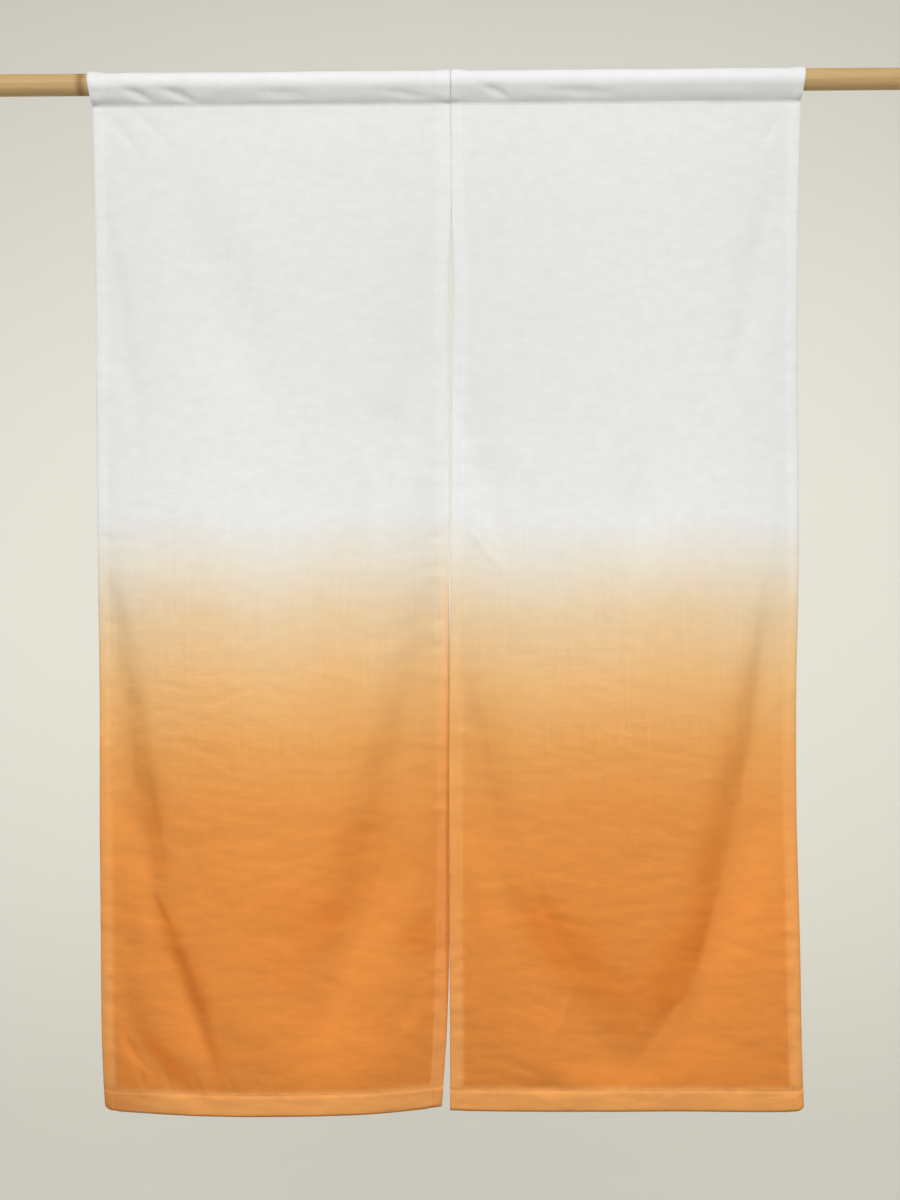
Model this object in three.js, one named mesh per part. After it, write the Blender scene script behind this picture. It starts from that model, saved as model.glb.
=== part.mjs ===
// A noren: a split curtain of two hemmed cloth panels, hung by its rod pockets on a round wooden rod.
//
// Millimetres. X runs along the rod, the front faces -Y, and the cloth hangs down towards -Z.
// The origin is on the rod's axis, halfway along it. A "drop" is a distance below that axis.

import * as THREE from "three";

// ---------- driving dimensions ----------

const ROD_RADIUS = 12.5;
const ROD_LENGTH = 1200;
const ROD_END_BEVEL = 1;
const ROD_SIDES = 48;

const CLOTH_THICKNESS = 1.6;
const HEM_DROP = 1190; // the bottom edge of both panels
const SEAM_DROP = 24; // the sewn line that closes the pocket under the rod
const POCKET_REST = 0.6; // the cloth's clearance where it bears on the top of the rod
const POCKET_EASE = 2; // the pocket's inside radius is larger than the rod's by this
const POCKET_FLARE = 4; // the pocket's outer ends reach this much further out than the seam
const HEM_WIDTH = 14;
const HEM_STIFFNESS = 1.8; // how far the hemmed ends of a pocket bow out below the rod
const CORNER_ROUNDING = { width: 16, lift: 2.5 }; // the outer bottom corners are turned up a little

// ---------- mesh density ----------

const COLUMNS = 24;
const UPPER_ROWS = 12;
const LOWER_ROWS = 28;
const LOWER_ROWS_FROM = 480; // the creased lower part has closer rows from this drop down
const POCKET_ARC_STEPS = 12;

// ---------- the hanging shape of each panel ----------

// A row is a height of the panel. outer_x and slit_x place its two side edges, outer_back and slit_back
// say how far these curl behind the rod's plane, and belly how far the middle stands in front of it.
const LEFT_SECTIONS = [
  { drop: 24, outer_x: -409, outer_back: 0, slit_x: 4.8, slit_back: 0, belly: 0 },
  { drop: 150, outer_x: -407, outer_back: 1, slit_x: 4.6, slit_back: 0, belly: 1 },
  { drop: 240, outer_x: -407, outer_back: 2, slit_x: 1, slit_back: 1, belly: 2 },
  { drop: 350, outer_x: -407.5, outer_back: 3, slit_x: 0.6, slit_back: 3, belly: 3 },
  { drop: 550, outer_x: -408, outer_back: 6, slit_x: -0.5, slit_back: 7, belly: 6 },
  { drop: 700, outer_x: -408, outer_back: 9, slit_x: 0.2, slit_back: 13, belly: 9 },
  { drop: 850, outer_x: -409, outer_back: 13, slit_x: 0, slit_back: 19, belly: 13 },
  { drop: 1000, outer_x: -409, outer_back: 17, slit_x: -2.5, slit_back: 25, belly: 16 },
  { drop: 1100, outer_x: -408.5, outer_back: 20, slit_x: -6, slit_back: 29, belly: 18 },
  { drop: 1190, outer_x: -405.5, outer_back: 22, slit_x: -12.5, slit_back: 32, belly: 19 },
];
const RIGHT_SECTIONS = [
  { drop: 24, outer_x: 409, outer_back: 0, slit_x: 5.4, slit_back: 0, belly: 0 },
  { drop: 150, outer_x: 405.5, outer_back: 1, slit_x: 5.4, slit_back: 0, belly: 1 },
  { drop: 240, outer_x: 404.5, outer_back: 1, slit_x: 8, slit_back: 0, belly: 2 },
  { drop: 350, outer_x: 404, outer_back: 2, slit_x: 4.5, slit_back: -1, belly: 3 },
  { drop: 550, outer_x: 405, outer_back: 4, slit_x: 1.4, slit_back: -3, belly: 5 },
  { drop: 700, outer_x: 401.5, outer_back: 6, slit_x: -0.5, slit_back: -4, belly: 7 },
  { drop: 850, outer_x: 401, outer_back: 8, slit_x: -2, slit_back: -3, belly: 8 },
  { drop: 1000, outer_x: 403, outer_back: 6, slit_x: -2.7, slit_back: 0, belly: 7 },
  { drop: 1100, outer_x: 403.5, outer_back: 5, slit_x: -2.8, slit_back: 2, belly: 6 },
  { drop: 1190, outer_x: 405, outer_back: 4, slit_x: -3.2, slit_back: 3, belly: 5 },
];
const OUTER_CURL = 0.42; // the share of the width, from the outer edge, that curls back
const SLIT_CURL = 0.3; // and from the slit
const FOLD_START = 0.4; // a fold is this share of its full width at its ends

// A row is a fold: a valley, or with a negative depth a ridge, from (from_x, from_drop) down to
// (to_x, to_drop), bowed sideways by bow in its middle. It is deepest at that share of its way, where it
// lies depth behind the cloth around it, and its two sides reach left_reach and right_reach out.
const LEFT_FOLDS = [
  { name: "outer crease", from_x: -392, from_drop: 500, to_x: -268, to_drop: 1165, bow: -13,
    deepest: 0.78, depth: 6.5, left_reach: 34, right_reach: 14 },
  { name: "corner valley", from_x: -398, from_drop: 1030, to_x: -240, to_drop: 1188, bow: -38,
    deepest: 0.5, depth: 5, left_reach: 17, right_reach: 15 },
  { name: "inner crease", from_x: -16, from_drop: 520, to_x: -205, to_drop: 1135, bow: 14,
    deepest: 0.66, depth: 8, left_reach: 30, right_reach: 42 },
  { name: "hem valley", from_x: -40, from_drop: 950, to_x: -112, to_drop: 1175, bow: 0,
    deepest: 0.5, depth: 4, left_reach: 18, right_reach: 22 },
  { name: "slit fall", from_x: -4, from_drop: 80, to_x: -82, to_drop: 570, bow: 0,
    deepest: 0.7, depth: 2.5, left_reach: 26, right_reach: 18 },
  { name: "heading fall", from_x: -318, from_drop: 30, to_x: -180, to_drop: 430, bow: 0,
    deepest: 0.68, depth: 3.5, left_reach: 44, right_reach: 24 },
  { name: "side fall", from_x: -402, from_drop: 60, to_x: -328, to_drop: 470, bow: 0,
    deepest: 0.55, depth: 3.5, left_reach: 20, right_reach: 36 },
];
const RIGHT_FOLDS = [
  { name: "inner crease", from_x: 8, from_drop: 560, to_x: 150, to_drop: 1010, bow: -16,
    deepest: 0.4, depth: 5, left_reach: 20, right_reach: 22 },
  { name: "inner foot", from_x: 52, from_drop: 800, to_x: 212, to_drop: 1165, bow: -10,
    deepest: 0.66, depth: 4.5, left_reach: 34, right_reach: 30 },
  { name: "outer crease", from_x: 376, from_drop: 550, to_x: 258, to_drop: 1095, bow: 5,
    deepest: 0.58, depth: 8, left_reach: 23, right_reach: 50 },
  { name: "outer foot", from_x: 292, from_drop: 930, to_x: 190, to_drop: 1170, bow: 12,
    deepest: 0.62, depth: 5, left_reach: 26, right_reach: 40 },
  { name: "slit fall", from_x: 7, from_drop: 240, to_x: 78, to_drop: 580, bow: -16,
    deepest: 0.7, depth: 2.5, left_reach: 18, right_reach: 20 },
  { name: "heading fall", from_x: 398, from_drop: 20, to_x: 304, to_drop: 400, bow: -5,
    deepest: 0.5, depth: 3.5, left_reach: 22, right_reach: 38 },
  { name: "middle fall", from_x: 224, from_drop: 370, to_x: 216, to_drop: 640, bow: 0,
    deepest: 0.45, depth: 2.5, left_reach: 20, right_reach: 20 },
];

// ---------- surface of a panel ----------

// Reads every named column of a table of rows at a drop, on a smooth curve through the rows.
function readSections(rows, drop) {
  const last = rows.length - 1;
  let row = 0;
  while (row < last - 1 && rows[row + 1].drop < drop) row += 1;
  const [before, start, end, after] = [
    rows[Math.max(row - 1, 0)], rows[row], rows[row + 1], rows[Math.min(row + 2, last)],
  ];
  const span = end.drop - start.drop;
  const t = THREE.MathUtils.clamp((drop - start.drop) / span, 0, 1);
  const slope = (low, high, key) => ((high[key] - low[key]) / (high.drop - low.drop)) * span;
  const section = {};
  for (const key of Object.keys(start)) {
    const rise = slope(before, end, key);
    const fall = slope(start, after, key);
    section[key] = start[key] * (2 * t ** 3 - 3 * t ** 2 + 1) + rise * (t ** 3 - 2 * t ** 2 + t)
      + end[key] * (3 * t ** 2 - 2 * t ** 3) + fall * (t ** 3 - t ** 2);
  }
  return section;
}

// How far a fold pushes the cloth back at (x, drop). It fades in from its upper end and out to its lower one.
function foldDepth(fold, x, drop) {
  const length = fold.to_drop - fold.from_drop;
  const along = (drop - fold.from_drop) / length;
  if (along <= 0 || along >= 1) return 0;
  const middle = THREE.MathUtils.lerp(fold.from_x, fold.to_x, along) + fold.bow * Math.sin(Math.PI * along);
  const lean = (fold.to_x - fold.from_x) / length;
  const distance = (x - middle) / Math.hypot(1, lean); // square to the fold's line
  const fromEnd = along < fold.deepest ? along / fold.deepest : (1 - along) / (1 - fold.deepest);
  const growth = THREE.MathUtils.smoothstep(fromEnd, 0, 1);
  const reach = (distance < 0 ? fold.left_reach : fold.right_reach) * (FOLD_START + (1 - FOLD_START) * growth);
  return fold.depth * growth * Math.exp(-((distance / reach) ** 2));
}

// The middle of the cloth's thickness. across runs from 0 at the outer edge to 1 at the slit.
function clothPoint(panel, across, drop) {
  const section = readSections(panel.sections, drop);
  const x = THREE.MathUtils.lerp(section.outer_x, section.slit_x, across);
  const outerCurl = Math.max(0, 1 - across / OUTER_CURL) ** 2;
  const slitCurl = Math.max(0, 1 - (1 - across) / SLIT_CURL) ** 2;
  let back = section.outer_back * outerCurl + section.slit_back * slitCurl;
  back -= section.belly * Math.sin(Math.PI * across);
  for (const fold of panel.folds) back += foldDepth(fold, x, drop);
  const fromOuterEdge = Math.abs(x - section.outer_x);
  const corner = Math.max(0, 1 - fromOuterEdge / CORNER_ROUNDING.width) ** 2;
  const nearHem = THREE.MathUtils.smoothstep(drop, HEM_DROP - 3 * HEM_WIDTH, HEM_DROP);
  return new THREE.Vector3(x, back, -drop + CORNER_ROUNDING.lift * corner * nearHem);
}

// The unit direction out of the cloth's front there.
function clothNormal(panel, across, drop) {
  const [stepAcross, stepDrop] = [0.004, 2];
  const [low, high] = [Math.max(across - stepAcross, 0), Math.min(across + stepAcross, 1)];
  const [upper, lower] = [Math.max(drop - stepDrop, SEAM_DROP), Math.min(drop + stepDrop, HEM_DROP)];
  const sideways = clothPoint(panel, high, drop).sub(clothPoint(panel, low, drop));
  const downwards = clothPoint(panel, across, lower).sub(clothPoint(panel, across, upper));
  const normal = sideways.cross(downwards).normalize();
  return normal.y > 0 ? normal.negate() : normal;
}

// The drops of the rows of the sheet, from the hem up to the pocket's seam.
function rowDrops() {
  const drops = [];
  for (let row = 0; row < LOWER_ROWS; row += 1) {
    drops.push(THREE.MathUtils.lerp(HEM_DROP, LOWER_ROWS_FROM, row / LOWER_ROWS));
  }
  for (let row = 0; row <= UPPER_ROWS; row += 1) {
    drops.push(THREE.MathUtils.lerp(LOWER_ROWS_FROM, SEAM_DROP, row / UPPER_ROWS));
  }
  return drops;
}

// The pocket around the rod, as stations from its front seam, over the top, to its back seam. Each has
// a point { y, z } in the middle of the cloth and the outward direction { ny, nz } of the pocket.
function pocketStations(bow) {
  const radius = ROD_RADIUS + POCKET_EASE + CLOTH_THICKNESS / 2;
  const centreZ = ROD_RADIUS + POCKET_REST + CLOTH_THICKNESS / 2 - radius;
  const seamBelow = SEAM_DROP + centreZ;
  const tangentAngle = Math.acos(radius / seamBelow); // from straight down, to where cloth leaves the round
  const onRound = (angle) => ({
    y: -radius * Math.sin(angle), z: centreZ - radius * Math.cos(angle), ny: -Math.sin(angle), nz: -Math.cos(angle),
  });
  const stations = [];
  const leaving = onRound(tangentAngle);
  const halfway = {
    y: leaving.y / 2 + leaving.ny * bow, z: (leaving.z - SEAM_DROP) / 2 + leaving.nz * bow,
    ny: leaving.ny, nz: leaving.nz,
  };
  stations.push(halfway);
  for (let step = 0; step <= POCKET_ARC_STEPS; step += 1) {
    const share = step / POCKET_ARC_STEPS;
    stations.push(onRound(THREE.MathUtils.lerp(tangentAngle, 2 * Math.PI - tangentAngle, share)));
  }
  stations.push({ ...halfway, y: -halfway.y, ny: -halfway.ny });
  return stations;
}

// ---------- a panel as one closed solid ----------

function makePanel(name, panel, material) {
  const positions = [];
  const triangles = [];
  const drops = rowDrops();
  const half = CLOTH_THICKNESS / 2;
  const flip = panel.sections[0].outer_x > panel.sections[0].slit_x; // the mirrored panel's columns run back
  const addVertex = (x, y, z) => positions.push(x, y, z) / 3 - 1;
  const addTriangle = (a, b, c) => (flip ? triangles.push(a, c, b) : triangles.push(a, b, c));
  const addQuad = (a, b, c, d) => {
    addTriangle(a, b, c);
    addTriangle(a, c, d);
  };

  // Each column is one outer chain, hem to hem over the pocket, and one closed inner chain inside it.
  const columns = [];
  for (let index = 0; index <= COLUMNS; index += 1) {
    const across = index / COLUMNS;
    const front = [];
    const back = [];
    for (const drop of drops) {
      const point = clothPoint(panel, across, drop);
      const normal = clothNormal(panel, across, drop).multiplyScalar(half);
      front.push(addVertex(point.x + normal.x, point.y + normal.y, point.z + normal.z));
      back.push(addVertex(point.x - normal.x, point.y - normal.y, point.z - normal.z));
    }
    const seam = clothPoint(panel, across, SEAM_DROP);
    const fromEnd = Math.min(across, 1 - across) * Math.abs(panel.sections[0].outer_x);
    const bow = HEM_STIFFNESS * Math.exp(-((fromEnd / HEM_WIDTH) ** 2));
    const flareSide = Math.sign(panel.sections[0].outer_x) * Math.max(0, 1 - 4 * across);
    const cusp = addVertex(seam.x, seam.y, -SEAM_DROP + CLOTH_THICKNESS * 1.5);
    const outside = [];
    const inside = [cusp];
    for (const station of pocketStations(bow)) {
      const rise = (station.z + SEAM_DROP) / (SEAM_DROP + ROD_RADIUS);
      const x = seam.x + flareSide * POCKET_FLARE * rise;
      outside.push(addVertex(x, station.y + station.ny * half, station.z + station.nz * half));
      inside.push(addVertex(x, station.y - station.ny * half, station.z - station.nz * half));
    }
    columns.push({ front, back, outside, inside, chain: [...front, ...outside, ...[...back].reverse()] });
  }

  for (let index = 0; index < COLUMNS; index += 1) {
    const [here, next] = [columns[index], columns[index + 1]];
    const links = here.chain.length;
    for (let link = 0; link < links; link += 1) {
      const after = (link + 1) % links; // the last link closes the chain under the hem
      addQuad(here.chain[link], next.chain[link], next.chain[after], here.chain[after]);
    }
    const rings = here.inside.length;
    for (let ring = 0; ring < rings; ring += 1) {
      const after = (ring + 1) % rings;
      addQuad(here.inside[ring], here.inside[after], next.inside[after], next.inside[ring]);
    }
  }

  // The two side faces: the sheet's edge, the join at the seam, and the ring around the rod.
  for (const [column, turned] of [[columns[0], false], [columns[COLUMNS], true]]) {
    const addSideQuad = (a, b, c, d) => (turned ? addQuad(a, d, c, b) : addQuad(a, b, c, d));
    const top = drops.length - 1;
    for (let row = 0; row < top; row += 1) {
      addSideQuad(column.front[row], column.front[row + 1], column.back[row + 1], column.back[row]);
    }
    const cusp = column.inside[0];
    const ringOutside = [column.front[top], ...column.outside, column.back[top]];
    const ringInside = [cusp, ...column.inside.slice(1), cusp];
    for (let step = 0; step < ringOutside.length - 1; step += 1) {
      const [outerHere, outerNext] = [ringOutside[step], ringOutside[step + 1]];
      const [innerHere, innerNext] = [ringInside[step], ringInside[step + 1]];
      addSideQuad(outerHere, outerNext, innerNext, innerHere);
    }
    const [a, b, c] = [column.front[top], cusp, column.back[top]];
    if (turned) addTriangle(a, c, b);
    else addTriangle(a, b, c);
  }

  const geometry = new THREE.BufferGeometry();
  geometry.setAttribute("position", new THREE.Float32BufferAttribute(positions, 3));
  geometry.setIndex(triangles);
  geometry.computeVertexNormals();
  const mesh = new THREE.Mesh(geometry, material);
  mesh.name = name;
  return mesh;
}

// ---------- the rod ----------

function makeRod(material) {
  const [end, bevel] = [ROD_LENGTH / 2, ROD_END_BEVEL];
  const profile = [
    [0, -end], [ROD_RADIUS - bevel, -end], [ROD_RADIUS, -end + bevel],
    [ROD_RADIUS, end - bevel], [ROD_RADIUS - bevel, end], [0, end],
  ].map(([radius, along]) => new THREE.Vector2(radius, along));
  const rod = new THREE.Mesh(new THREE.LatheGeometry(profile, ROD_SIDES), material);
  rod.name = "rod";
  rod.rotation.z = -Math.PI / 2; // the lathe's axis, Y, is laid along X
  return rod;
}

// ---------- the noren ----------

const dyedLinen = new THREE.MeshStandardMaterial({ color: 0xe8c9a0, roughness: 0.9, metalness: 0 });
const bareWood = new THREE.MeshStandardMaterial({ color: 0xc4a06a, roughness: 0.55, metalness: 0 });

const noren = new THREE.Group();
noren.add(
  makeRod(bareWood),
  makePanel("panel_left", { sections: LEFT_SECTIONS, folds: LEFT_FOLDS }, dyedLinen),
  makePanel("panel_right", { sections: RIGHT_SECTIONS, folds: RIGHT_FOLDS }, dyedLinen),
);

export default noren;
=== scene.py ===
"""A noren on its rod: two folded and hemmed cloth panels, the sewing in them, and a bare wooden rod.

Metres, in the frame of the CAD part: X runs along the rod, the front faces -Y, and the origin is on the
rod's axis halfway along it. A "drop" is a distance below that axis, and "back" is a distance towards +Y.
"""

import math
from collections import namedtuple

import bpy
import numpy as np
from mathutils import Matrix, Vector, noise


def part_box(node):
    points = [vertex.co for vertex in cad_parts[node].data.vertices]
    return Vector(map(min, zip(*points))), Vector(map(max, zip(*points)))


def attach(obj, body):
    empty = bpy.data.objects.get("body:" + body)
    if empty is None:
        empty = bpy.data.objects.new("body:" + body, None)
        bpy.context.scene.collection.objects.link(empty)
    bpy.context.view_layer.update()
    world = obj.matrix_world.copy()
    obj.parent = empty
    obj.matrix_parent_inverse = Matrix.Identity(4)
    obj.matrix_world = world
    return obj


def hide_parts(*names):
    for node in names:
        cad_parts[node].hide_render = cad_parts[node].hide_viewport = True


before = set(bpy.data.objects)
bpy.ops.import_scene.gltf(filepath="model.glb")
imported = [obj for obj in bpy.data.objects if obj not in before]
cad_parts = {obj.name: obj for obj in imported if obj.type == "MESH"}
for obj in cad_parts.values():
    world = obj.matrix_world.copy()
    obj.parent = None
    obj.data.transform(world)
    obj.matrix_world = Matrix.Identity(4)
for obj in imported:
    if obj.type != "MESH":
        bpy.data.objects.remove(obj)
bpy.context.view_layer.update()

# ---------- driving sizes ----------

ROD_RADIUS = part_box("rod")[1].z
HEM_DROP = 1.190  # the bottom edge of both panels
PANEL_WIDTH = 0.409  # about, from an outer edge to the slit
SEAM_DROP = 0.024  # the sewn line that closes the pocket under the rod
CORNER_WIDTH, CORNER_LIFT = 0.011, 0.0042  # the outer bottom corners are turned up a little
CORNER_HEIGHT = 0.042  # the cloth is turned up there over this much above its bottom edge
OUTER_CURL, SLIT_CURL = 0.42, 0.28  # the shares of the width that curl back at each side
POCKET_FLARE = 0.004  # the pocket's outer ends reach this much further out than the seam
FLARE_SHARE = 0.25  # over this share of the width

# A fold's line wanders in two waves, and its width changes in a third one. The waves start at a place of
# their own in each fold, and show most in a fold whose sides reach the firm reach.
FOLD_START = 0.4  # a fold is this share of its full width at its ends
FOLD_WAVE, FOLD_WANDER, FOLD_PINCH = 0.021, 0.0013, 0.12
SECOND_WANDER, SECOND_WAVE, SECOND_START = 0.6, 2.7, 1.9  # as shares of the first wave
PINCH_WAVE, PINCH_START = 1.3, 2.7
WAVE_START_BY_X, WAVE_START_BY_DROP = 60, 37
FIRM_REACH = 0.020

# ---------- the cloth as it is cut and folded ----------

PLY = 0.0005  # one layer of cloth, with its share of the air between layers
POCKET_REST = 0.0003  # between the cloth and the top of the rod, on which it hangs
POCKET_EASE = 0.0016  # how much wider than the rod the pocket is, measured on its radius
HEADING_BELOW = 0.0025  # and the pocket's back reaches this far below its seam
ON_ROD = 0.85  # the single layer in front of the rod lets through almost as little light as a hem

Hem = namedtuple("Hem", "width tuck stitch")
SIDE_HEM = Hem(width=0.014, tuck=0.009, stitch=0.0122)
FOOT_HEM = Hem(width=0.027, tuck=0.010, stitch=0.0252)
JOINED_TO = 0.160  # the two panels are sewn together from the pocket down to this drop

# The cells of the mesh. They are smaller below, where the folds are, and larger inside the hems.
CELL_ACROSS = 0.0027
CELL_DOWN_UPPER, CELL_DOWN_LOWER = 0.0036, 0.0026
LOWER_FROM = 0.46
HIDDEN_CELLS, BACK_CELLS, FRONT_CELLS = 2.0, 1.5, 0.8  # a hem's layers, in cells
FOLD_CLEAR, FRONT_CLEAR = 0.003, 0.0024  # a flat layer ends this far from the fold that it runs into
POCKET_STRAIGHT_STEP, POCKET_ROUND_STEP = 0.14, 0.045  # as shares of each stretch of the pocket

# ---------- the hanging cloth ----------

HEM_EASE = 0.004  # the cloth eases from three layers to one over this much beyond a hem
CORNER_SHARPNESS = 2.5
SLACK, SLACK_CHANGE, SLACK_LENGTH = 0.0009, 0.0010, 0.07  # the pocket bows out of its straight stretches
HEM_BOW = 0.0012  # and this much more where its hems stiffen it
BACK_BOW_SHARE = 0.5
POCKET_SETTLE = 0.010  # the small shapes of the cloth settle over this much before the seam's back
HEEL_TURN = 0.0012  # what the fold of the turned top edge takes up of the cloth below the seam
HEEL_BACK, HEEL_TUCKED = 0.001, 0.0005  # where its two flat layers are held, below the seam
LEAN_OUT, STEEP = 0.16, 0.075  # painted shade: the colour is deepened where a fold turns the cloth down and a little outwards, away from the keys; a fold this steep gets all of it

Section = namedtuple("Section", "drop outer_x outer_back slit_x slit_back belly")
Fold = namedtuple("Fold", "name from_x from_drop to_x to_drop bow deepest depth left_reach right_reach")

# A section is a height of the panel: where its two side edges are, how far these curl back, and how far
# the middle stands forward. A fold is a valley, or with a negative depth a ridge.
LEFT_SECTIONS = (
    Section(0.024, -0.4090, 0.000, 0.0050, 0.000, 0.000),
    Section(0.150, -0.4070, 0.001, 0.0049, 0.000, 0.001),
    Section(0.240, -0.4070, 0.002, 0.0010, 0.001, 0.002),
    Section(0.350, -0.4075, 0.003, 0.0006, 0.003, 0.003),
    Section(0.550, -0.4080, 0.006, -0.0005, 0.007, 0.006),
    Section(0.700, -0.4080, 0.009, 0.0002, 0.011, 0.009),
    Section(0.850, -0.4090, 0.010, 0.0000, 0.015, 0.012),
    Section(1.000, -0.4090, 0.011, -0.0025, 0.019, 0.015),
    Section(1.100, -0.4085, 0.012, -0.0060, 0.019, 0.017),
    Section(1.190, -0.4055, 0.013, -0.0125, 0.018, 0.018),
)
RIGHT_SECTIONS = (
    Section(0.024, 0.4090, 0.000, 0.0052, 0.000, 0.000),
    Section(0.150, 0.4055, 0.001, 0.0051, 0.000, 0.001),
    Section(0.240, 0.4045, 0.001, 0.0080, 0.000, 0.002),
    Section(0.350, 0.4040, 0.002, 0.0045, -0.001, 0.003),
    Section(0.550, 0.4050, 0.004, 0.0014, -0.003, 0.005),
    Section(0.700, 0.4015, 0.005, -0.0005, -0.004, 0.007),
    Section(0.850, 0.4010, 0.005, -0.0020, -0.003, 0.008),
    Section(1.000, 0.4030, 0.004, -0.0027, 0.000, 0.007),
    Section(1.100, 0.4035, 0.005, -0.0028, 0.002, 0.006),
    Section(1.190, 0.4050, 0.004, -0.0032, 0.003, 0.005),
)
LEFT_FOLDS = (
    Fold("outer crease", -0.408, 0.470, -0.330, 1.020, -0.008, 0.68, 0.0084, 0.032, 0.020),
    Fold("outer foot", -0.356, 0.915, -0.262, 1.180, -0.003, 0.50, 0.0044, 0.030, 0.018),
    Fold("side valley", -0.386, 0.680, -0.376, 1.140, 0.000, 0.55, 0.0030, 0.022, 0.022),
    Fold("corner valley", -0.392, 1.030, -0.255, 1.192, -0.030, 0.50, 0.0022, 0.020, 0.020),
    Fold("inner crease", -0.008, 0.500, -0.172, 1.155, 0.014, 0.62, 0.0094, 0.030, 0.046),
    Fold("inner foot", -0.048, 0.820, -0.166, 1.176, 0.000, 0.68, 0.0070, 0.072, 0.056),
    Fold("hem valley", -0.030, 0.950, -0.056, 1.110, 0.000, 0.40, 0.0020, 0.020, 0.020),
    Fold("slit fall", -0.004, 0.080, -0.082, 0.570, 0.000, 0.60, 0.0040, 0.028, 0.020),
    Fold("heading fall", -0.334, 0.030, -0.180, 0.450, 0.000, 0.55, 0.0040, 0.050, 0.036),
    Fold("side fall", -0.412, 0.050, -0.346, 0.480, 0.000, 0.55, 0.0022, 0.022, 0.013),
    Fold("corner lift", -0.440, 1.168, -0.325, 1.150, 0.000, 0.35, -0.0040, 0.030, 0.100),
)
RIGHT_FOLDS = (
    Fold("inner crease", -0.006, 0.560, 0.074, 1.030, -0.004, 0.56, 0.0066, 0.030, 0.030),
    Fold("inner foot", 0.050, 0.900, 0.215, 1.170, -0.006, 0.60, 0.0070, 0.050, 0.048),
    Fold("outer crease", 0.386, 0.490, 0.268, 1.120, 0.015, 0.62, 0.0092, 0.027, 0.044),
    Fold("outer foot", 0.326, 0.900, 0.222, 1.172, 0.012, 0.66, 0.0062, 0.046, 0.056),
    Fold("slit fall", 0.007, 0.200, 0.078, 0.580, -0.016, 0.60, 0.0036, 0.020, 0.024),
    Fold("heading fall", 0.404, 0.020, 0.316, 0.420, -0.005, 0.50, 0.0028, 0.017, 0.026),
    Fold("middle fall", 0.224, 0.370, 0.216, 0.640, 0.000, 0.45, 0.0030, 0.022, 0.018),
    Fold("hem lift", 0.240, 1.196, 0.570, 1.186, 0.000, 0.50, -0.0120, 0.050, 0.220),
    Fold("foot hollow", 0.096, 1.128, 0.262, 1.140, 0.000, 0.60, 0.0036, 0.024, 0.050),
)

# The finer creases, which are too small for the CAD solids. Drops above the seam are measured along the
# cloth, so they go on round the rod.
LEFT_CREASES = (
    Fold("corner pull 1", -0.378, 0.001, -0.332, 0.022, 0.001, 0.55, 0.0034, 0.0046, 0.0060),
    Fold("corner pull 2", -0.342, 0.000, -0.282, 0.023, 0.001, 0.60, 0.0034, 0.0044, 0.0064),
    Fold("corner pull 3", -0.398, 0.030, -0.340, 0.110, 0.004, 0.35, 0.0012, 0.0040, 0.0060),
    Fold("corner pull 4", -0.370, 0.026, -0.300, 0.090, 0.002, 0.35, 0.0010, 0.0040, 0.0060),
    Fold("heading dent", -0.230, 0.008, -0.150, 0.013, 0.000, 0.50, 0.0016, 0.0050, 0.0040),
    Fold("heading pull", -0.090, 0.006, -0.014, 0.017, 0.000, 0.60, 0.0016, 0.0045, 0.0040),
    Fold("crease head", -0.398, 0.480, -0.352, 0.790, -0.004, 0.60, 0.0016, 0.0150, 0.0130),
    Fold("crease waist", -0.360, 0.740, -0.326, 0.930, -0.004, 0.50, 0.0008, 0.0090, 0.0070),
    Fold("crease foot", -0.332, 0.960, -0.266, 1.145, -0.005, 0.55, 0.0024, 0.0140, 0.0120),
    Fold("crease branch", -0.352, 0.925, -0.318, 0.990, 0.000, 0.50, 0.0007, 0.0050, 0.0040),
    Fold("corner dent", -0.392, 1.080, -0.340, 1.150, -0.006, 0.50, 0.0010, 0.0050, 0.0050),
    Fold("inner edge", -0.052, 0.790, -0.156, 1.120, 0.008, 0.60, 0.0009, 0.0100, 0.0050),
    Fold("inner side", -0.140, 0.740, -0.180, 0.860, 0.004, 0.50, 0.0005, 0.0080, 0.0060),
    Fold("dark spot", -0.046, 1.036, -0.054, 1.106, 0.000, 0.50, 0.0012, 0.0100, 0.0090),
    Fold("wave crease", -0.215, 0.905, -0.130, 0.880, 0.000, 0.50, 0.0003, 0.0050, 0.0050),
    Fold("hem pull 1", -0.372, 1.122, -0.352, 1.176, 0.002, 0.50, 0.0007, 0.0040, 0.0030),
    Fold("hem pull 2", -0.338, 1.128, -0.322, 1.178, 0.002, 0.50, 0.0006, 0.0030, 0.0040),
    Fold("hem pull 3", -0.306, 1.134, -0.284, 1.180, 0.002, 0.50, 0.0006, 0.0040, 0.0030),
    Fold("hem pull 4", -0.262, 1.140, -0.240, 1.180, 0.001, 0.50, 0.0004, 0.0040, 0.0040),
)
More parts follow.
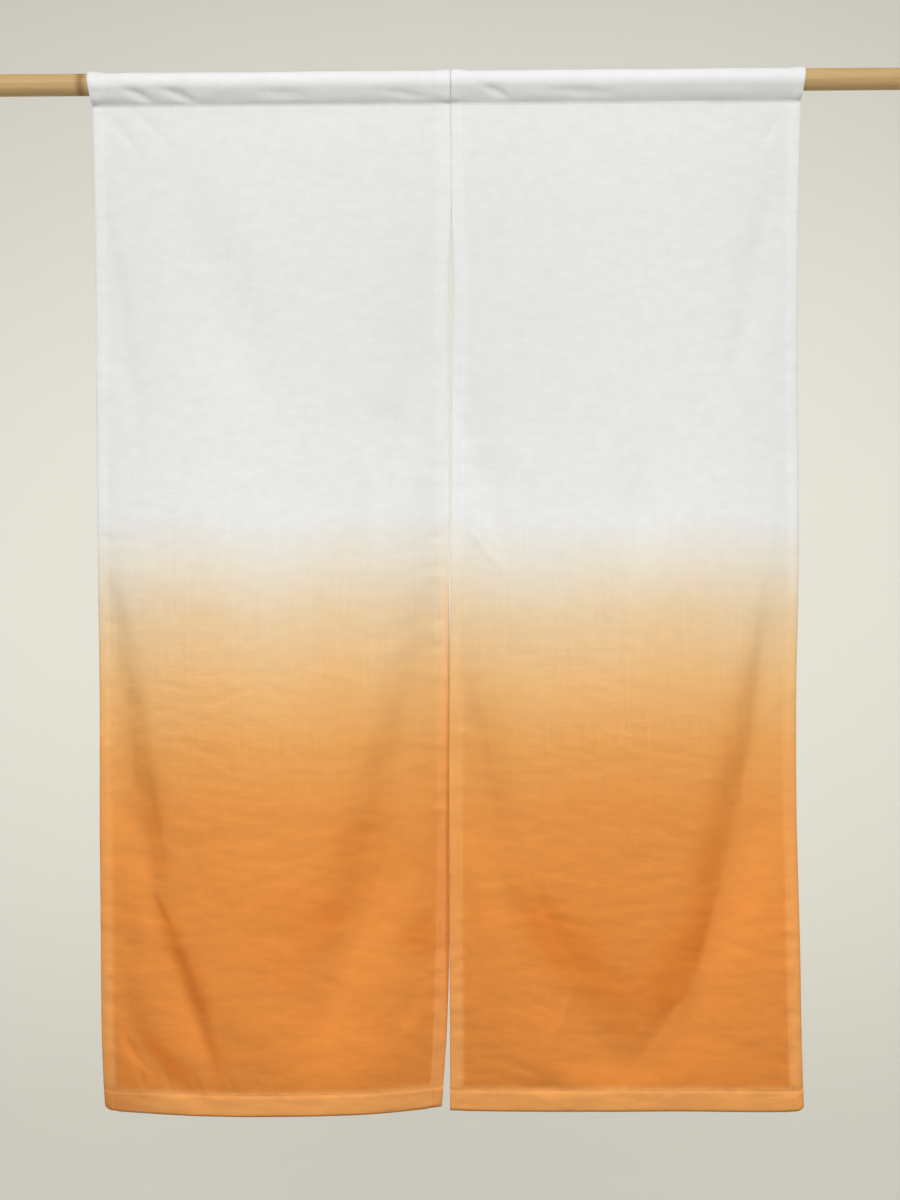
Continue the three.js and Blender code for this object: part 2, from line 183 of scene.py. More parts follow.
RIGHT_CREASES = (
    Fold("middle pull", 0.030, 0.000, 0.078, 0.020, 0.001, 0.55, 0.0028, 0.0044, 0.0056),
    Fold("heading dent", 0.100, 0.008, 0.210, 0.013, 0.000, 0.50, 0.0015, 0.0050, 0.0040),
    Fold("corner pull", 0.396, 0.026, 0.350, 0.100, -0.003, 0.40, 0.0012, 0.0040, 0.0060),
    Fold("light ridge", 0.150, 1.015, 0.098, 1.145, 0.004, 0.50, -0.0008, 0.0045, 0.0055),
    Fold("slit ridge", 0.006, 0.490, 0.084, 0.585, -0.004, 0.50, -0.0006, 0.0040, 0.0050),
    Fold("crease edge", 0.366, 0.560, 0.326, 0.880, 0.010, 0.50, 0.0012, 0.0100, 0.0130),
    Fold("crease foot", 0.322, 0.880, 0.262, 1.080, 0.006, 0.55, 0.0008, 0.0070, 0.0090),
    Fold("crease end", 0.276, 1.040, 0.204, 1.145, 0.003, 0.50, 0.0014, 0.0120, 0.0090),
    Fold("inner edge", 0.016, 0.660, 0.062, 0.880, -0.004, 0.45, 0.0010, 0.0080, 0.0080),
    Fold("inner foot", 0.084, 0.900, 0.156, 1.040, -0.004, 0.50, 0.0009, 0.0090, 0.0110),
    Fold("wave crease", 0.088, 0.962, 0.172, 0.978, 0.000, 0.50, 0.0004, 0.0040, 0.0050),
    Fold("hem dent", 0.082, 1.160, 0.148, 1.166, 0.000, 0.50, 0.0014, 0.0090, 0.0100),
)

# Small ripples all over the cloth: how long one is along the weft and along the warp, how high it
# stands, and the share of that height that it has in the smoother upper half.
Ripple = namedtuple("Ripple", "weftwise warpwise height upper_share")
RIPPLES = (
    Ripple(0.075, 0.045, 0.00050, 0.9),
    Ripple(0.034, 0.015, 0.00034, 0.45),
    Ripple(0.020, 0.011, 0.00016, 0.5),
)
RIPPLE_CHANGE = (0.50, 0.85)  # between these drops the ripples grow to their full height
RIPPLE_WANDER, WANDER_STRETCH = 0.09, 1.5  # their rows wander over this length, and more along the warp
PUCKER_PITCH, PUCKER_HEIGHT, PUCKER_REACH = 0.0105, 0.00052, 0.010  # beside the lines of stitching
PUCKER_SHORT_SHARE, PUCKER_LEAST = 0.5, 0.01  # they reach less far towards the edge, and end when this faint
GROOVE_DEPTH, GROOVE_REACH = 0.00030, 0.0014  # along the lines of stitching
HEM_PUFF, HEM_PUFF_SLOPE = 0.00028, 0.004  # between them and the edge
SLACK_SEED, WANDER_SEED, PUCKER_SEED = 30, 50, 90  # added to the panel's own seed
HEM_SEED = 100  # times a hem's width


# ---------- small helpers ----------

def smoothstep(value, low, high):
    share = np.clip((value - low) / (high - low), 0, 1)
    return share * share * (3 - 2 * share)


def spaced(start, end, step):
    """Evenly spaced values from start to end, both included, about a step apart."""
    return np.linspace(start, end, max(2, round(abs(end - start) / step) + 1))


def noise_field(across, down, seed):
    """Smooth noise of about -1 to 1 at each pair of coordinates, one bump to each unit."""
    values = [noise.noise((a, d, seed)) for a, d in zip(across.ravel(), down.ravel())]
    return np.array(values).reshape(across.shape)


# ---------- the hanging surface of a panel ----------

def read_sections(sections, drop):
    """Each column of the table at each drop, on a smooth curve through the rows."""
    rows = np.array(sections)
    drops = rows[:, 0]
    row = np.clip(np.searchsorted(drops, drop, side="right") - 1, 0, len(rows) - 2)
    before, after = np.maximum(row - 1, 0), np.minimum(row + 2, len(rows) - 1)
    span = drops[row + 1] - drops[row]
    t = np.clip((drop - drops[row]) / span, 0, 1)[..., None]
    leaving = (rows[row + 1] - rows[before]) * (span / (drops[row + 1] - drops[before]))[..., None]
    arriving = (rows[after] - rows[row]) * (span / (drops[after] - drops[row]))[..., None]
    curve = (rows[row] * (2 * t**3 - 3 * t**2 + 1) + leaving * (t**3 - 2 * t**2 + t)
             + rows[row + 1] * (3 * t**2 - 2 * t**3) + arriving * (t**3 - t**2))
    return Section(*np.moveaxis(curve, -1, 0))


def fold_back(fold, x, drop):
    """How far a fold pushes the cloth back at (x, drop). It fades out towards both its ends."""
    run, rise = fold.to_x - fold.from_x, fold.to_drop - fold.from_drop
    length = math.hypot(run, rise)
    along = ((x - fold.from_x) * run + (drop - fold.from_drop) * rise) / length**2
    beside = ((x - fold.from_x) * rise - (drop - fold.from_drop) * run) / length
    inside = np.clip(along, 0, 1)
    growth = smoothstep(np.where(inside < fold.deepest, inside / fold.deepest,
                                 (1 - inside) / (1 - fold.deepest)), 0, 1)
    turn = inside * length / FOLD_WAVE
    start = WAVE_START_BY_X * fold.from_x + WAVE_START_BY_DROP * fold.to_drop
    wander = np.sin(turn + start) + SECOND_WANDER * np.sin(SECOND_WAVE * turn + SECOND_START * start)
    mean_reach = (fold.left_reach + fold.right_reach) / 2
    firm = min(mean_reach / FIRM_REACH, FIRM_REACH / mean_reach) ** 2
    beside = beside - fold.bow * np.sin(np.pi * inside) - FOLD_WANDER * firm * wander
    pinch = 1 + FOLD_PINCH * firm * np.sin(PINCH_WAVE * turn + PINCH_START * start)
    full_reach = np.where(beside < 0, fold.left_reach, fold.right_reach)
    reach = full_reach * (FOLD_START + (1 - FOLD_START) * growth) * pinch
    return fold.depth * growth * np.exp(-(beside / reach) ** 2)


class Panel:
    """One cloth panel. side is -1 for the left one and 1 for the right one."""

    def __init__(self, side, sections, folds, creases):
        self.side, self.sections, self.folds, self.creases = side, sections, folds, creases
        self.seed = 20.0 + 7.0 * side  # of the noise in its small shapes

    def width(self, drop):
        section = read_sections(self.sections, drop)
        return np.abs(section.outer_x - section.slit_x)

    def point(self, across, drop):
        """The cloth's middle at a share of the way from the outer edge to the slit."""
        section = read_sections(self.sections, drop)
        x = section.outer_x + (section.slit_x - section.outer_x) * across
        back = section.outer_back * np.maximum(0, 1 - across / OUTER_CURL) ** 2
        back = back + section.slit_back * np.maximum(0, 1 - (1 - across) / SLIT_CURL) ** 2
        back = back - section.belly * np.sin(np.pi * across)
        for fold in self.folds:
            back = back + fold_back(fold, x, drop)
        corner = np.maximum(0, 1 - np.abs(x - section.outer_x) / CORNER_WIDTH) ** CORNER_SHARPNESS
        near_hem = smoothstep(drop, HEM_DROP - CORNER_HEIGHT, HEM_DROP)
        return np.stack([x, back, -drop + CORNER_LIFT * corner * near_hem], axis=-1)

    def normal(self, across, drop):
        """The unit direction out of the cloth's front."""
        step_across, step_drop = 0.004, 0.002
        low, high = np.maximum(across - step_across, 0), np.minimum(across + step_across, 1)
        upper, lower = np.maximum(drop - step_drop, SEAM_DROP), np.minimum(drop + step_drop, HEM_DROP)
        cross = np.cross(self.point(high, drop) - self.point(low, drop),
                         self.point(across, lower) - self.point(across, upper))
        cross *= np.where(cross[..., 1:2] > 0, -1, 1)
        return cross / np.linalg.norm(cross, axis=-1, keepdims=True)

    def relief(self, x, drop, from_outer, from_slit):
        """How far the small shapes of the cloth stand out of its smooth surface."""
        height = np.zeros(np.broadcast(x, drop).shape)
        x, drop = np.broadcast_to(x, height.shape), np.broadcast_to(drop, height.shape)
        rough = smoothstep(drop, *RIPPLE_CHANGE)
        for number, ripple in enumerate(RIPPLES):
            wander = noise_field(x / RIPPLE_WANDER, drop / RIPPLE_WANDER, self.seed + WANDER_SEED + number)
            field = noise_field(x / ripple.weftwise + wander,
                                drop / ripple.warpwise + WANDER_STRETCH * wander, self.seed + number)
            height += ripple.height * field * (ripple.upper_share + (1 - ripple.upper_share) * rough)
        for crease in self.creases:
            height -= fold_back(crease, x, drop)
        for hem, from_edge, along in ((SIDE_HEM, from_outer, drop), (SIDE_HEM, from_slit, drop),
                                      (FOOT_HEM, HEM_DROP - drop, x)):
            height += hem_relief(hem, from_edge, along, self.seed)
        return height + stitched_relief(drop - SEAM_DROP, x, self.seed)


def stitched_relief(beyond, along, seed):
    """A groove along a line of stitching, and puckers beside it. beyond is how far past the line."""
    beyond, along = np.broadcast_arrays(beyond, along)
    groove = GROOVE_DEPTH * np.exp(-(beyond / GROOVE_REACH) ** 2)
    reach = np.where(beyond < 0, PUCKER_SHORT_SHARE * PUCKER_REACH, PUCKER_REACH)
    fade = np.exp(-(beyond / reach) ** 2)
    near = fade > PUCKER_LEAST
    puckers = np.zeros(fade.shape)
    if near.any():
        places = along[near] / PUCKER_PITCH
        waves = noise_field(places, np.full(places.shape, seed), seed + PUCKER_SEED)
        puckers[near] = PUCKER_HEIGHT * fade[near] * waves
    return puckers - groove


def hem_relief(hem, from_edge, along, seed):
    """A hem stands a little proud between its folded edge and its stitching."""
    rise = smoothstep(from_edge, 0, HEM_PUFF_SLOPE)
    fall = 1 - smoothstep(from_edge, hem.stitch - HEM_PUFF_SLOPE, hem.stitch)
    stitched = stitched_relief(from_edge - hem.stitch, along, seed + hem.width * HEM_SEED)
    return HEM_PUFF * rise * fall + stitched


# ---------- the folded layers of a hem ----------

# A station is a place along the cloth at a hem: its distance from the folded edge, and how far round the
# two folds it is: 0 on the front, 1 on the layer furthest back, and 2 on the layer turned under between.
Station = namedtuple("Station", "distance turn")
EDGE_TURNS = (0.82, 0.5, 0.18)
TUCK_TURNS = (1.75, 1.5, 1.25)


def hem_stations(hem, step):
    """From the raw edge, hidden in the hem, round both folds and on over the front of the hem."""
    hidden = spaced(hem.width - hem.tuck, hem.width - FOLD_CLEAR, HIDDEN_CELLS * step)
    back = spaced(hem.width - FOLD_CLEAR, FOLD_CLEAR, BACK_CELLS * step)
    front = spaced(FRONT_CLEAR, hem.width, FRONT_CELLS * step)
    return [
        *(Station(distance, 2.0) for distance in hidden),
        *(Station(0.0, turn) for turn in TUCK_TURNS),
        *(Station(distance, 1.0) for distance in back),
        *(Station(0.0, turn) for turn in EDGE_TURNS),
        *(Station(distance, 0.0) for distance in front),
    ]


def fold_layers(hem_width, distance, turn, stack, layer):
    """(distance from the edge, layers behind the front) of one layer of a stack that is folded twice."""
    edge_centre, tuck_centre = (3 * stack - 1) / 2, (4 * stack - 1) / 2
    edge_radius, tuck_radius = edge_centre - layer, stack - 0.5 - layer
    first = turn <= 1
    behind = np.where(first, edge_centre - edge_radius * np.cos(np.pi * turn),
                      tuck_centre + tuck_radius * np.cos(np.pi * (turn - 1)))
    round_edge = (edge_centre - edge_radius * np.sin(np.pi * turn)) * PLY
    round_tuck = hem_width - (stack - 0.5 - tuck_radius * np.sin(np.pi * (turn - 1))) * PLY
    on_edge, on_tuck = (turn > 0) & (turn < 1), (turn > 1) & (turn < 2)
    return np.where(on_edge, round_edge, np.where(on_tuck, round_tuck, distance)), behind


def plies_at(from_edge, hem):
    """3 where a hem lies, easing to 1 beyond it."""
    return 1 + 2 * (1 - smoothstep(from_edge, hem.width, hem.width + HEM_EASE))


# ---------- a panel as one folded sheet ----------

class Columns:
    """The columns of a panel, from the raw edge in its outer hem to the one in its slit hem."""

    def __init__(self, width):
        distance, turn = (np.array(values) for values in zip(*hem_stations(SIDE_HEM, CELL_ACROSS)))
        from_edge, layer = fold_layers(SIDE_HEM.width, distance, turn, 1, 0)
        share = spaced(0, 1, CELL_ACROSS / (PANEL_WIDTH - 2 * SIDE_HEM.width))[1:-1]
        width = np.asarray(width)[..., None]
        edge = np.broadcast_to(from_edge, width.shape[:-1] + from_edge.shape)
        body = SIDE_HEM.width + share * (width - 2 * SIDE_HEM.width)
        self.from_outer = np.concatenate([edge, body, width - edge[..., ::-1]], axis=-1)
        self.across = self.from_outer / width
        self.from_slit = width - self.from_outer
        self.layer = np.concatenate([layer, np.zeros(len(share)), layer[::-1]])
        side = np.minimum(self.from_outer, self.from_slit)
        self.stack = np.where(self.layer > 0, 3.0, plies_at(side, SIDE_HEM))


def hanging_rows(panel):
    """The sheet from the raw edge in its bottom hem up to the pocket's seam, with its two attributes."""
    stations = hem_stations(FOOT_HEM, CELL_DOWN_LOWER)
    for drop in spaced(HEM_DROP - FOOT_HEM.width, LOWER_FROM, CELL_DOWN_LOWER)[1:]:
        stations.append(Station(HEM_DROP - drop, 0.0))
    for drop in spaced(LOWER_FROM, SEAM_DROP, CELL_DOWN_UPPER)[1:]:
        stations.append(Station(HEM_DROP - drop, 0.0))
    distance, turn = (np.array(values)[:, None] for values in zip(*stations))
    columns = Columns(panel.width(HEM_DROP - distance[:, 0]))
    from_foot, behind = fold_layers(FOOT_HEM.width, distance, turn, columns.stack, columns.layer)
    drop = HEM_DROP - from_foot
    point, normal = panel.point(columns.across, drop), panel.normal(columns.across, drop)
    raised = panel.relief(point[..., 0], drop, columns.from_outer, columns.from_slit)
    layered = np.maximum((columns.stack - 1) / 2, (plies_at(from_foot, FOOT_HEM) - 1) / 2)
    # painted shade: how far the folds turn the cloth down and outwards, away from the keys, where the colour
    # is later deepened
    unfolded = Panel(panel.side, panel.sections, (), ())
    lean = normal - unfolded.normal(columns.across, drop)
    painted_fold_shade = np.clip((LEAN_OUT * panel.side * lean[..., 0] - lean[..., 2]) / STEEP, 0, 1)
    return point + normal * (raised - behind * PLY)[..., None], layered, painted_fold_shade


def pocket_rows(panel):
    """The sheet round the rod, from the seam's front to its back, then under and up inside the pocket."""
    columns = Columns(panel.width(np.array(SEAM_DROP)))
    across, layer, stack = columns.across, columns.layer, columns.stack
    seam = panel.point(across, SEAM_DROP)
    centre_z = POCKET_REST - POCKET_EASE
    radius = ROD_RADIUS + POCKET_EASE + PLY * (stack - 0.5)
    back_y = (3 * stack - 1) * PLY
    below = SEAM_DROP + centre_z
    front_leaves = np.arccos(radius / below)
    back_leaves = np.arccos(radius / np.hypot(below, back_y)) + np.arctan(back_y / below)
    stiff = np.exp(-(np.minimum(columns.from_outer, columns.from_slit) / SIDE_HEM.width) ** 2)
    change = noise_field(seam[..., 0] / SLACK_LENGTH, np.zeros(across.shape), panel.seed + SLACK_SEED)
    bow = SLACK + SLACK_CHANGE * change + HEM_BOW * stiff
    flare = panel.side * np.maximum(0, 1 - across / FLARE_SHARE) * POCKET_FLARE

    def round_point(angle):
        """y and z on the pocket's round part, at an angle from straight down towards the front."""
        return -radius * np.sin(angle), centre_z - radius * np.cos(angle)

    # a row is y, z and the direction inwards, in y and z
    rows = []
    straight = spaced(0, 1, POCKET_STRAIGHT_STEP)
    for share in straight[:-1]:
        y, z = round_point(front_leaves)
        swell = bow * np.sin(np.pi * share)
        rows.append((y * share - np.sin(front_leaves) * swell,
                     -SEAM_DROP + (z + SEAM_DROP) * share - np.cos(front_leaves) * swell,
                     np.sin(front_leaves), np.cos(front_leaves)))
    for share in spaced(0, 1, POCKET_ROUND_STEP):
        angle = front_leaves + (2 * math.pi - back_leaves - front_leaves) * share
        y, z = round_point(angle)
        rows.append((y, z, np.sin(angle), np.cos(angle)))
    back_rows = []
    for share in straight[1:]:
        y, z = round_point(-back_leaves)
        swell = BACK_BOW_SHARE * bow * np.sin(np.pi * share)
        back_rows.append((y + (back_y - y) * share + np.sin(back_leaves) * swell,
                          z + (-SEAM_DROP - z) * share - np.cos(back_leaves) * swell,
                          -np.sin(back_leaves), np.cos(back_leaves)))
    rows += back_rows

    def placed(y, z, inward_y, inward_z, depth):
        """The points of one row, depth behind the cloth's outside."""
        rise = (z + SEAM_DROP) / (SEAM_DROP + ROD_RADIUS)
        return np.stack([seam[..., 0] + flare * rise, y + inward_y * depth, z + inward_z * depth], axis=-1)

    shape = across.shape
    round_rod = np.stack([
        placed(*(np.broadcast_to(part, shape) for part in row), layer * PLY) for row in rows])
    outward = np.stack([
        np.stack([np.zeros(shape), *(-np.broadcast_to(part, shape) for part in row[2:])], axis=-1)
        for row in rows])
    along = np.cumsum(np.linalg.norm(np.diff(round_rod[:, shape[0] // 2], axis=0), axis=-1))
    unrolled = SEAM_DROP - np.concatenate([[0], along])[:, None]
    raised = panel.relief(seam[None, ..., 0], unrolled, columns.from_outer[None], columns.from_slit[None])
    settled = smoothstep(unrolled, unrolled[-1], unrolled[-1] + POCKET_SETTLE)
    round_rod = round_rod + outward * (raised * settled)[..., None]

    # under the seam, on the back, the turned top edge
    heel = [Station(HEEL_BACK, 1.0), Station(HEADING_BELOW - HEEL_TURN, 1.0)]
    heel += [Station(0.0, turn) for turn in reversed(TUCK_TURNS)]
    heel += [Station(HEADING_BELOW - HEEL_TURN, 2.0), Station(HEEL_TUCKED, 2.0)]
    distance, turn = (np.array(values)[:, None] for values in zip(*heel))
    reach, behind = fold_layers(HEADING_BELOW, distance, turn, stack, layer)
    across_all, drop = np.broadcast_to(across, reach.shape), SEAM_DROP + reach
    under = panel.point(across_all, drop) - panel.normal(across_all, drop) * (behind * PLY)[..., None]
    flap = np.stack([
        placed(*(np.broadcast_to(part, shape) for part in row), (2 * stack - 1 - layer) * PLY)
        for row in reversed(back_rows[1:-1])])
    rows = np.concatenate([round_rod[1:], under, flap])
    return rows, np.broadcast_to(np.maximum((stack - 1) / 2, ON_ROD), rows.shape[:2])


def add_mesh(name, vertices, faces):
    mesh = bpy.data.meshes.new(name)
    mesh.from_pydata(np.asarray(vertices).tolist(), [], faces)
    mesh.shade_smooth()
    piece = bpy.data.objects.new(name, mesh)
    bpy.context.collection.objects.link(piece)
    return piece


def add_grid(name, points, attributes):
    """One surface through a grid of points, with its flat size as UVs in metres and named attributes."""
    count_down, count_across = points.shape[:2]
    index = np.arange(count_down * count_across).reshape(count_down, count_across)
    corners = (index[:-1, :-1], index[:-1, 1:], index[1:, 1:], index[1:, :-1])
    quads = np.stack(corners, axis=-1).reshape(-1, 4)
    flat_across, flat_down = (
        np.concatenate([[0], np.cumsum(np.linalg.norm(np.diff(line, axis=0), axis=-1))])
        for line in (points[count_down // 2], points[:, count_across // 2]))
    a, b, c = (points.reshape(-1, 3)[quads[:, corner]] for corner in (0, 1, 2))
    if np.cross(b - a, c - b)[:, 1].sum() > 0:
        quads = quads[:, ::-1]
    piece = add_mesh(name, points.reshape(-1, 3), quads.tolist())
    mesh = piece.data
    flat = np.broadcast_arrays(flat_across[None, :], flat_down[:, None])
    flat = np.stack(flat, axis=-1).reshape(-1, 2)
    layer = mesh.uv_layers.new(name="flat_cloth")
    layer.data.foreach_set("uv", flat[quads.ravel()].ravel())
    for key, values in attributes.items():
        attribute = mesh.attributes.new(key, "FLOAT", "POINT")
        attribute.data.foreach_set("value", np.ascontiguousarray(values, dtype=np.float32).ravel())
    return piece


# ---------- sewing ----------

THREAD_RADIUS = 0.00017
THREAD_LIFT = 0.4  # of its radius, that the thread's middle lies above the cloth
STITCH_PITCH = 0.0031
STITCH_LENGTH = 0.0026
THREAD_SIDES = 5
LINE_CLEAR = 0.004  # a side hem's stitching ends this far from the seam and from the bottom edge
LINE_INSET = 0.012  # and a line across the panel this share of the width from its sides
SEAM_LINE_BELOW = 0.0009  # the seam's stitches lie on the cloth's lower side of its groove
LADDER_PITCH, LADDER_INSET = 0.0042, 0.0011  # the stitches that join the panels, and how far in they bite
LADDER_CLEAR = 0.006  # below the seam
BAR_PITCH, BAR_LENGTH, BAR_CLEAR = 0.0009, 0.008, 0.002  # the bar at the slit's upper end
# Where a stitch rises out of the cloth and dips back in: shares of half its length, and of its height.
STITCH_PROFILE = ((-1.0, -1.6), (-0.72, 0.45), (0.0, 0.8), (0.72, 0.45), (1.0, -1.6))


def stitch_tubes(centres, directions, outwards, length):
    """Points and faces of a row of short thread tubes, each arching over its centre."""
    across = np.cross(directions, outwards)
    angles = np.linspace(0, 2 * math.pi, THREAD_SIDES, endpoint=False)
    rings = []
    for along, lift in STITCH_PROFILE:
        spine = centres + directions * (along * length / 2) + outwards * (lift * THREAD_RADIUS)
        ring = (across[:, None] * np.cos(angles)[None, :, None]
                + outwards[:, None] * np.sin(angles)[None, :, None])
        rings.append(spine[:, None] + ring * THREAD_RADIUS)
    points = np.stack(rings, axis=1)
    stitches, ring_count = points.shape[:2]
    index = np.arange(stitches * ring_count * THREAD_SIDES)
    index = index.reshape(stitches, ring_count, THREAD_SIDES)
    turned = np.roll(index, -1, axis=2)
    corners = (index[:, :-1], turned[:, :-1], turned[:, 1:], index[:, 1:])
    sides = np.stack(corners, axis=-1).reshape(-1, 4)
    caps = [*index[:, 0, ::-1].tolist(), *index[:, -1].tolist()]
    return points.reshape(-1, 3), sides.tolist() + caps


def stitched_line(panel, across, drop, behind):
    """Centres, directions and outward normals of a line of stitches, behind this many layers."""
    point, normal = panel.point(across, drop), panel.normal(across, drop)
    width = panel.width(drop)
    raised = panel.relief(point[:, 0], drop, across * width, (1 - across) * width)
    side = 1 if behind == 0 else -1
    centres = point + normal * (raised - behind * PLY + side * THREAD_RADIUS * THREAD_LIFT)[:, None]
    directions = np.gradient(centres, axis=0)
    directions /= np.linalg.norm(directions, axis=1, keepdims=True)
    return centres, directions, normal * side


def sew(panel):
    """All the stitches of a panel, front and back."""
    vertices, faces = [], []

    def add(centres, directions, outwards):
        points, polygons = stitch_tubes(centres, directions, outwards, STITCH_LENGTH)
        start = sum(len(part) for part in vertices)
        faces.extend([[corner + start for corner in polygon] for polygon in polygons])
        vertices.append(points)

    for behind in (0.0, 2.0):
        drop = spaced(SEAM_DROP + LINE_CLEAR, HEM_DROP - LINE_CLEAR, STITCH_PITCH)
        for from_edge in (SIDE_HEM.stitch, panel.width(drop) - SIDE_HEM.stitch):
            add(*stitched_line(panel, from_edge / panel.width(drop), drop, behind))
        for line_drop in (HEM_DROP - FOOT_HEM.stitch, SEAM_DROP + SEAM_LINE_BELOW):
            across = spaced(LINE_INSET, 1 - LINE_INSET, STITCH_PITCH / PANEL_WIDTH)
            add(*stitched_line(panel, across, np.full(across.shape, line_drop), behind))
    return np.concatenate(vertices), faces


def joining_stitches(left, right):
    """The ladder of stitches that closes the slit above, and the dense bar at its upper end."""
    bar_drop = JOINED_TO - BAR_LENGTH
    drops = np.concatenate([
        spaced(SEAM_DROP + LADDER_CLEAR, bar_drop - BAR_CLEAR, LADDER_PITCH),
        spaced(bar_drop, JOINED_TO, BAR_PITCH)])
    ends = []
    for panel in (left, right):
        width = panel.width(drops)
        across = 1 - LADDER_INSET / width
        point = panel.point(across, drops)
        raised = panel.relief(point[:, 0], drops, across * width, (1 - across) * width)
        ends.append(point + panel.normal(across, drops) * (raised + THREAD_RADIUS)[:, None])
    centres = (ends[0] + ends[1]) / 2
    directions = ends[1] - ends[0]
    length = np.linalg.norm(directions, axis=1).mean()
    directions /= np.linalg.norm(directions, axis=1, keepdims=True)
    outwards = np.broadcast_to(np.array([0.0, -1.0, 0.0]), centres.shape)
    return stitch_tubes(centres, directions, outwards, length)


# ---------- materials ----------

def srgb(red, green, blue):
    """A colour given as it looks on a screen, from 0 to 255, as Blender's linear values."""
    def linear(value):
        return value / 255 / 12.92 if value < 10.3 else ((value / 255 + 0.055) / 1.055) ** 2.4

    return linear(red), linear(green), linear(blue), 1.0


class Nodes:
    """The node tree of a new material, with short ways to add and join its nodes."""

    def __init__(self, name):
        self.material = bpy.data.materials.new(name)
        self.material.use_nodes = True
        self.tree = self.material.node_tree
        self.tree.nodes.clear()

    def add(self, kind, inputs=None, **settings):
        """A new node. An input is a value, or the output socket that feeds it."""
        node = self.tree.nodes.new("ShaderNode" + kind)
        for key, value in settings.items():
            setattr(node, key, value)
        for key, value in (inputs or {}).items():
            if isinstance(value, bpy.types.NodeSocket):
                self.tree.links.new(value, node.inputs[key])
            else:
                node.inputs[key].default_value = value
        return node

    def math(self, operation, first, second=0.0):
        return self.add("Math", {0: first, 1: second}, operation=operation).outputs[0]

    def noise(self, vector, scale, detail=2.0):
        """Noise of 0 to 1 in coordinates stretched by scale along each axis."""
        stretched = self.add("Mapping", {"Vector": vector, "Scale": scale}).outputs[0]
        texture = self.add("TexNoise", {"Vector": stretched, "Scale": 1.0, "Detail": detail})
        return texture.outputs["Fac"]

    def ramp(self, value, stops):
        node = self.add("ValToRGB", {"Fac": value})
        elements = node.color_ramp.elements
        while len(elements) < len(stops):
            elements.new(0.5)
        for element, (place, colour) in zip(elements, stops):
            element.position, element.color = place, colour
        return node.outputs["Color"]

    def mix(self, blend, factor, first, second):
        node = self.add("Mix", {0: factor, 6: first, 7: second}, data_type="RGBA", blend_type=blend)
        return node.outputs[2]

    def sum(self, *parts):
        """The sum of some values, each times a weight: (value, weight)."""
        total = self.math("MULTIPLY", *parts[0])
        for value, weight in parts[1:]:
            total = self.math("ADD", total, self.math("MULTIPLY", value, weight))
        return total

    def grey(self, value):
        return self.add("CombineColor", {0: value, 1: value, 2: value}).outputs[0]

    def finish(self, shader):
        self.add("OutputMaterial", {"Surface": shader})
        return self.material


DYE_FROM, DYE_TO = 0.50, 1.16  # the drops between which the dye deepens from none to full
DYE_STOPS = (
    (0.00, srgb(236, 236, 234)),
    (0.08, srgb(235, 226, 208)),
    (0.18, srgb(233, 203, 160)),
    (0.29, srgb(234, 182, 119)),
    (0.40, srgb(228, 159, 86)),
    (0.52, srgb(224, 144, 68)),
    (0.68, srgb(224, 138, 61)),
    (0.80, srgb(222, 136, 60)),
    (1.00, srgb(211, 127, 53)),
)
# The dye's edge is uneven: it bled in patches and crept up the warp. The noise's scale, and how far it went.
DYE_BLEED, DYE_CREEP = ((6.0, 6.0, 3.0), 0.050), ((260.0, 1.0, 7.0), 0.030)


def dye_colour(nodes):
    """The dipped colour at a height of the cloth, and how deep it is."""
    place = nodes.add("TexCoord").outputs["Object"]
    height = nodes.add("SeparateXYZ", {"Vector": place}).outputs["Z"]
    drop = nodes.math("MULTIPLY", height, -1.0)
    for scale, reach in (DYE_BLEED, DYE_CREEP):
        uneven = nodes.math("SUBTRACT", nodes.noise(place, scale), 0.5)
        drop = nodes.math("ADD", drop, nodes.math("MULTIPLY", uneven, reach))
    dyed = nodes.add("MapRange", {"Value": drop, "From Min": DYE_FROM, "From Max": DYE_TO}).outputs[0]
    return nodes.ramp(dyed, DYE_STOPS), dyed


YARN_PITCH = 0.00062
WEAVE_HEIGHT, SLUB_HEIGHT, RUMPLE_HEIGHT = 0.00004, 0.00016, 0.00042
RUMPLES_UNDYED, RUMPLES_BY_DYE = 0.5, 0.8  # the shares of that height in white cloth, and added by the dye
THROUGH = 0.10  # the share of the light that passes through one layer
WEFT_SLUBS, WARP_SLUBS = 0.6, 0.4
SLUB_SHADE, CLOUD_SHADE, LEAST_SHADE = 0.11, 0.10, 0.895  # the colour's unevenness
HEM_PALE, PALE_DYE = 0.26, srgb(246, 198, 126)  # the share of a paler dye in the deeply dyed hems
PAINTED_FOLD_TINT = (1.07, 0.90, 0.62, 1.0)  # painted shade: the deeper, more orange colour multiplied into the shaded sides of the folds


def linen_colour(nodes, slubs, cloudy, layered):
    """The dye, with darker slubs and clouds, painted shade on the shaded sides of the folds, paler in the
    hems, and its depth.
    """
    colour, dyed = dye_colour(nodes)
    shade = nodes.sum((slubs, SLUB_SHADE), (cloudy, CLOUD_SHADE), (1.0, LEAST_SHADE))
    colour = nodes.mix("MULTIPLY", 1.0, colour, nodes.grey(shade))

    # painted shade: the colour is deepened and made more orange on the sides of the folds that face down and
    # out, away from the keys, standing in for their saturated shadows
    painted_fold_shade = nodes.add("Attribute", attribute_name="painted_fold_shade").outputs["Fac"]
    colour = nodes.mix("MULTIPLY", nodes.math("MULTIPLY", painted_fold_shade, dyed), colour, PAINTED_FOLD_TINT)

    # hems are three layers thick, so less light is lost through them, and the dye took less well there
    pale = nodes.math("MULTIPLY", nodes.math("MULTIPLY", layered, dyed), HEM_PALE)
    return nodes.mix("MIX", pale, colour, PALE_DYE), dyed


